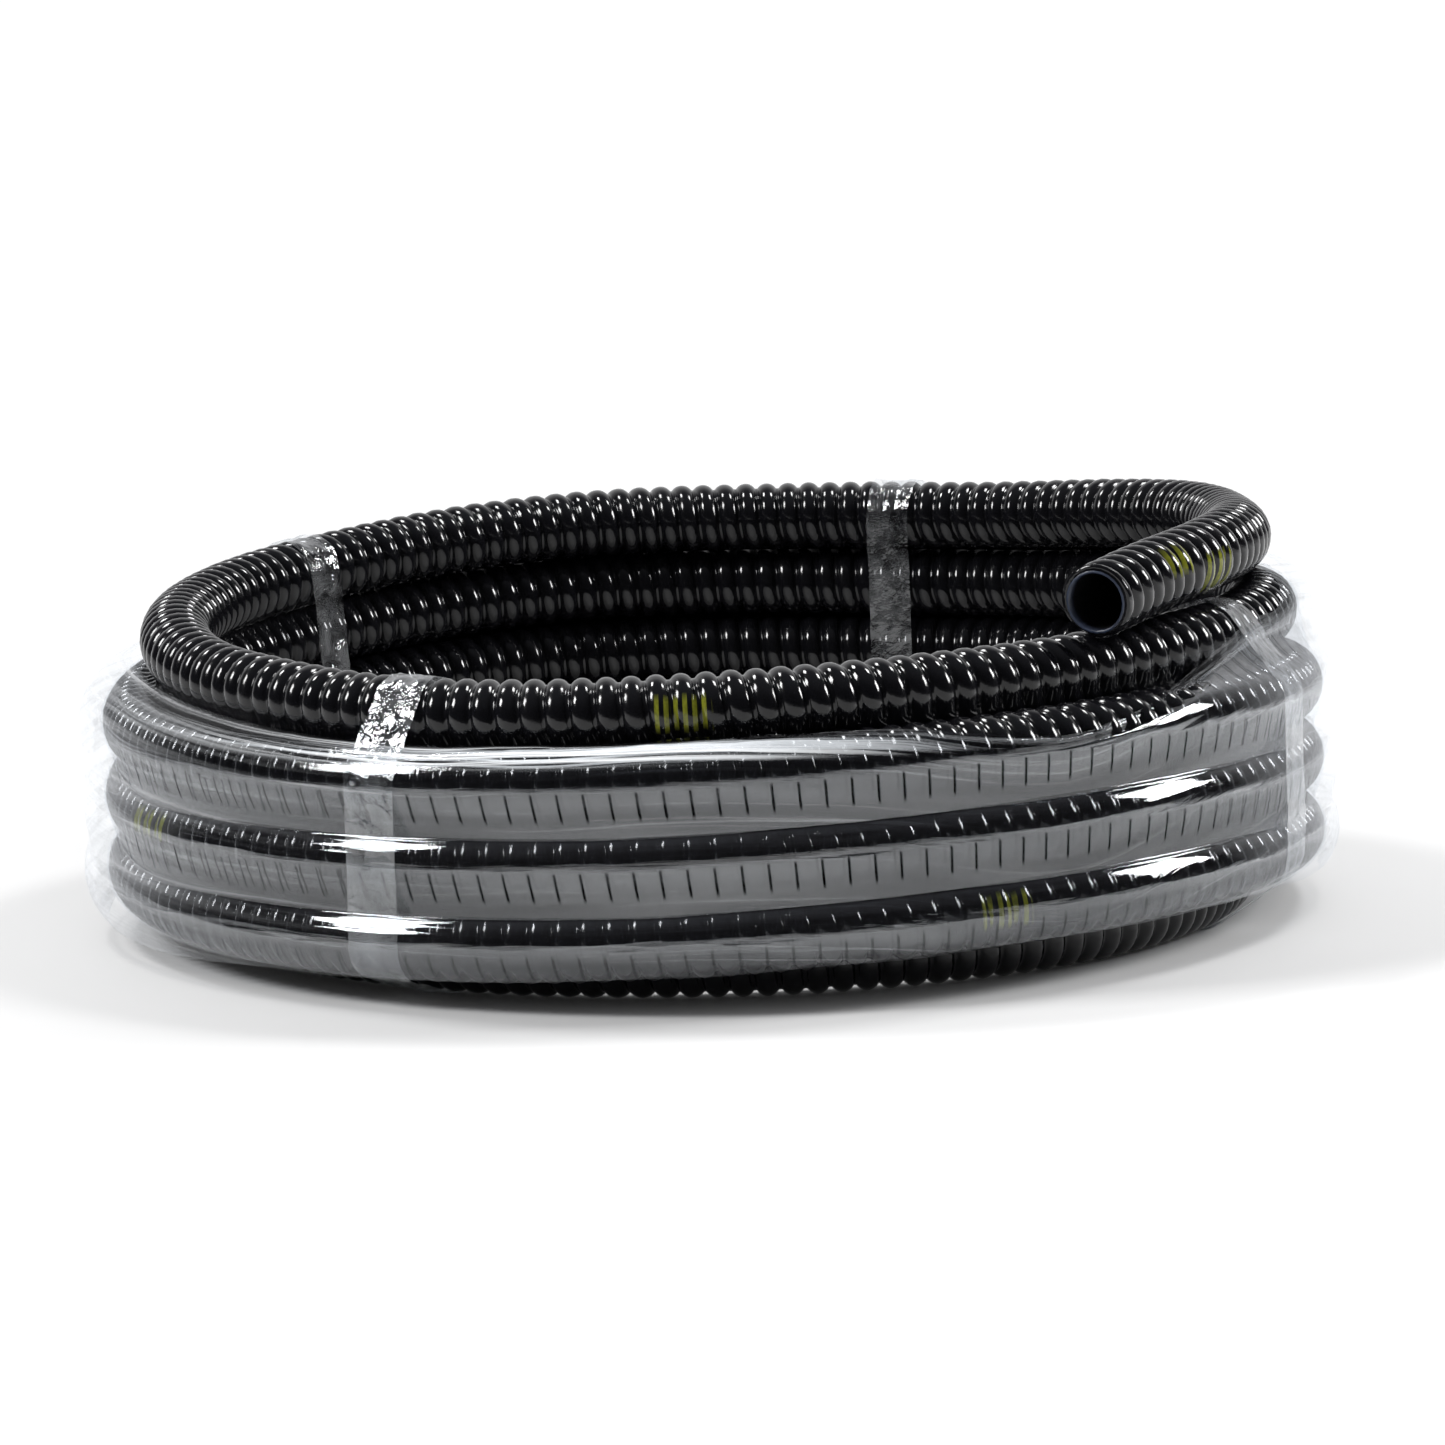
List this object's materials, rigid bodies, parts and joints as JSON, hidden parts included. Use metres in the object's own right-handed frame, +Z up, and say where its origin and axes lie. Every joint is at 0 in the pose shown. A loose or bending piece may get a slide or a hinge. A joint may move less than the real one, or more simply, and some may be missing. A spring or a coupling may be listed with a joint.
{
  "type": "pool vacuum hose",
  "caption": "Coiled black ribbed vacuum hose for pools and spas, with bare cut ends, wrapped in clear film and tied with clear tape.",
  "frame": {"origin": "on the floor, under the middle of the coil (bottom centre of the bounding box)", "axes": "+Z up along the coil's axis, -Y towards the side that the free end points to, +X towards the side where the free end leaves the top loop"},
  "size_m": [0.7104, 0.7104, 0.2325],
  "materials": {
    "hose_black": "glossy black flexible PVC",
    "film": "clear stretch film, glossy and wrinkled",
    "tape": "clear packing tape, glossy and creased"
  },
  "bodies": {
    "root": {"hose_free_end_wall": "hose_black", "hose_free_end_rib": "hose_black", "hose_inner_end_wall": "hose_black", "hose_inner_end_rib": "hose_black", "hose_loop_1": "hose_black", "hose_loop_2": "hose_black", "hose_loop_3": "hose_black", "hose_loop_4": "hose_black", "hose_loop_5": "hose_black", "film_wrap": "film", "tape_front_left": "tape", "tape_right": "tape", "tape_back_right": "tape", "tape_back_left": "tape"}
  },
  "joints": []
}
